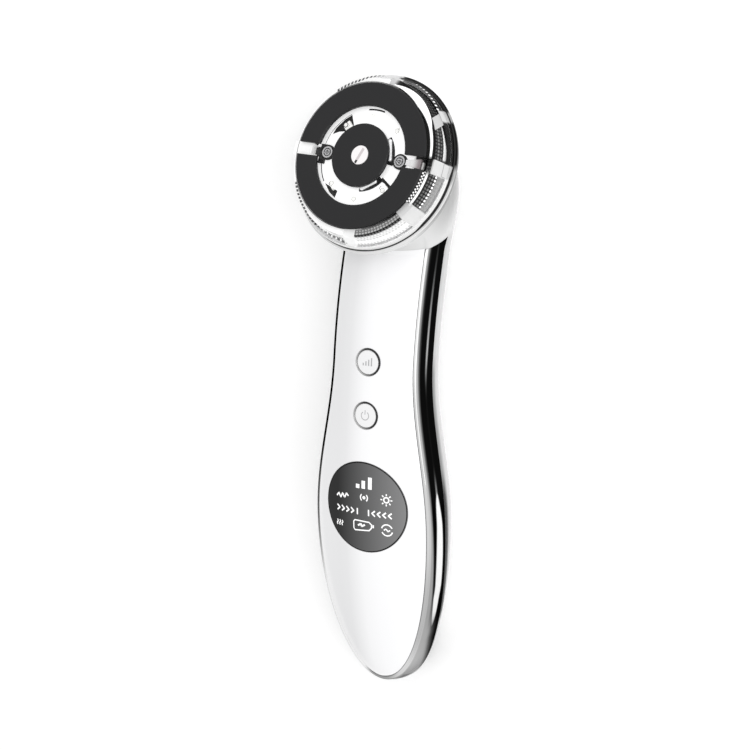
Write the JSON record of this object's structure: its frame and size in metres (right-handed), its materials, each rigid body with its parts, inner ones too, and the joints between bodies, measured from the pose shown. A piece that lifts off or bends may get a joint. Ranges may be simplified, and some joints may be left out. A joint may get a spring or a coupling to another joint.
{
  "type": "facial massager",
  "caption": "Slim wand with a round tilted head: ring electrodes under a clear cap with light blocks, a chrome band round a white handle, a small round display and push buttons.",
  "frame": {"origin": "centre of the bounding box's base: the plane that the wand lies on, on its back", "axes": "+Y runs from the handle's tip to the head, +Z out of the front panel, X across the handle"},
  "size_m": [0.056, 0.2, 0.0468],
  "materials": {
    "white_shell": "high gloss",
    "chrome_band": "mirror polished plating",
    "smoked_window": "glossy smoked acrylic",
    "button_white": "satin gloss",
    "button_ring": "plated",
    "black_plastic": "fine matt",
    "frame_white": "moulded",
    "circuit_board": "solder mask",
    "board_black": "solder mask",
    "steel": "zinc plated",
    "coil": "enamelled copper wire",
    "battery_film": "shrink film",
    "tungsten": "sintered",
    "clear": "clear polycarbonate",
    "frosted": "frosted polycarbonate",
    "light_ring": "ribbed and silvered",
    "reflector_white": "white reflector",
    "electrode": "dark satin coating",
    "gold_contact": "gold plated",
    "led": "phosphor",
    "seal": "matt"
  },
  "bodies": {
    "housing": {"front_shell": "white_shell", "rear_shell": "white_shell", "trim_band": "chrome_band", "display_window": "smoked_window", "display_frame": "black_plastic", "display_panel": "black_plastic", "level_ring": "button_ring", "power_ring": "button_ring", "switch_bodies": "black_plastic", "main_board": "circuit_board", "board_screws": "steel", "control_chips": "black_plastic", "rf_transformer": "coil", "battery": "battery_film", "battery_strap": "frame_white", "strap_screws": "steel", "motor_can": "steel", "motor_cap": "frame_white", "motor_screws": "steel", "charging_port": "steel", "port_tongue": "black_plastic", "port_board": "circuit_board", "port_screws": "steel", "clear_cap": "clear", "prism_ring": "light_ring", "light_blocks": "frosted", "upper_electrode": "electrode", "lower_electrode": "electrode", "center_electrode": "electrode", "sensor_lens": "frosted", "contact_pins": "gold_contact", "reflector": "reflector_white", "side_arm": "steel", "side_clip": "black_plastic", "led_board": "board_black", "head_leds": "led", "led_board_screws": "steel", "head_frame": "frame_white", "head_seal": "seal", "head_screws": "steel"},
    "level_key": {"level_button": "button_white", "level_plunger": "black_plastic"},
    "power_key": {"power_button": "button_white", "power_plunger": "black_plastic"},
    "motor_rotor": {"motor_shaft": "steel", "eccentric_weight": "tungsten"}
  },
  "joints": [
    {"name": "level_press", "type": "slide", "parent": "housing", "child": "level_key", "axis": [0, 0, -1], "range_m": [0, 0.0004], "stiffness_N_per_m": 4000},
    {"name": "power_press", "type": "slide", "parent": "housing", "child": "power_key", "axis": [0, 0, -1], "range_m": [0, 0.0004], "stiffness_N_per_m": 4000},
    {"name": "motor_spin", "type": "hinge", "parent": "housing", "child": "motor_rotor", "pos_m": [0, 0.0224, 0.0124], "axis": [0, 1, 0], "continuous": true}
  ]
}
